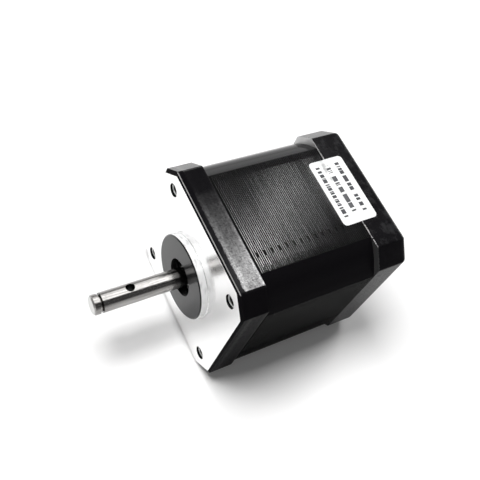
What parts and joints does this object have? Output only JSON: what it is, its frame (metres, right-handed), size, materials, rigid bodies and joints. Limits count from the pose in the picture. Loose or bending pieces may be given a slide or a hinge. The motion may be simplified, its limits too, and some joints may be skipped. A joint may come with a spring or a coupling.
{
  "type": "stepper motor",
  "caption": "Square-flange hybrid stepper motor with a round pilot boss, a long plain shaft with a cross hole and ring groove, ball bearings and a side connector.",
  "frame": {"origin": "on the shaft's axis, in the plane of the mounting face", "axes": "-Y along the shaft out of the mounting face, +Z through the side with the label, the motor lying on its -Z side"},
  "size_m": [0.0448, 0.073, 0.0425],
  "materials": {
    "front_end_bell": "black paint on cast aluminium, with a bright machined face",
    "rear_end_bell": "satin black paint",
    "stator_stack": "black paint on laminated steel",
    "bobbin": "natural nylon",
    "winding": "enamelled copper wire",
    "terminal_board": "green circuit board",
    "posts": "tinned",
    "connector_housing": "off-white moulded nylon",
    "screws": "zinc plated",
    "rating_label": "white film label",
    "spring_steel": "spring steel",
    "shaft": "ground steel",
    "rotor_iron": "ground laminated steel",
    "magnet": "sintered magnet",
    "spacer": "turned brass",
    "bearing_steel": "ground bearing steel",
    "bearing_cage": "brass",
    "balls": "polished steel",
    "shields": "pressed steel"
  },
  "bodies": {
    "housing": {"front_end_bell": "front_end_bell", "rear_end_bell": "rear_end_bell", "stator_stack": "stator_stack", "front_bobbin": "bobbin", "rear_bobbin": "bobbin", "coils_phase_a": "winding", "coils_phase_b": "winding", "terminal_board": "terminal_board", "winding_posts": "posts", "connector_housing": "connector_housing", "connector_pins": "posts", "through_screws": "screws", "rating_label": "rating_label", "wave_washer": "spring_steel", "front_bearing_outer_race": "bearing_steel", "front_bearing_shields": "shields", "rear_bearing_outer_race": "bearing_steel", "rear_bearing_shields": "shields"},
    "rotor": {"shaft": "shaft", "front_rotor_cup": "rotor_iron", "rear_rotor_cup": "rotor_iron", "rotor_magnet": "magnet", "front_spacer": "spacer", "rear_spacer": "spacer", "front_bearing_inner_race": "bearing_steel", "rear_bearing_inner_race": "bearing_steel"},
    "front_ball_set": {"front_bearing_cage": "bearing_cage", "front_bearing_balls": "balls"},
    "rear_ball_set": {"rear_bearing_cage": "bearing_cage", "rear_bearing_balls": "balls"}
  },
  "joints": [
    {"name": "rotor_spin", "type": "hinge", "parent": "housing", "child": "rotor", "pos_m": [0, 0, 0], "axis": [0, 1, 0], "continuous": true},
    {"name": "front_ball_set_spin", "type": "hinge", "parent": "housing", "child": "front_ball_set", "pos_m": [0, 0.0025, 0], "axis": [0, 1, 0], "continuous": true},
    {"name": "rear_ball_set_spin", "type": "hinge", "parent": "housing", "child": "rear_ball_set", "pos_m": [0, 0.0431, 0], "axis": [0, 1, 0], "continuous": true}
  ],
  "couplings": [
    {"joint": "front_ball_set_spin", "follows": "rotor_spin", "ratio": 0.38571},
    {"joint": "rear_ball_set_spin", "follows": "rotor_spin", "ratio": 0.38571}
  ]
}
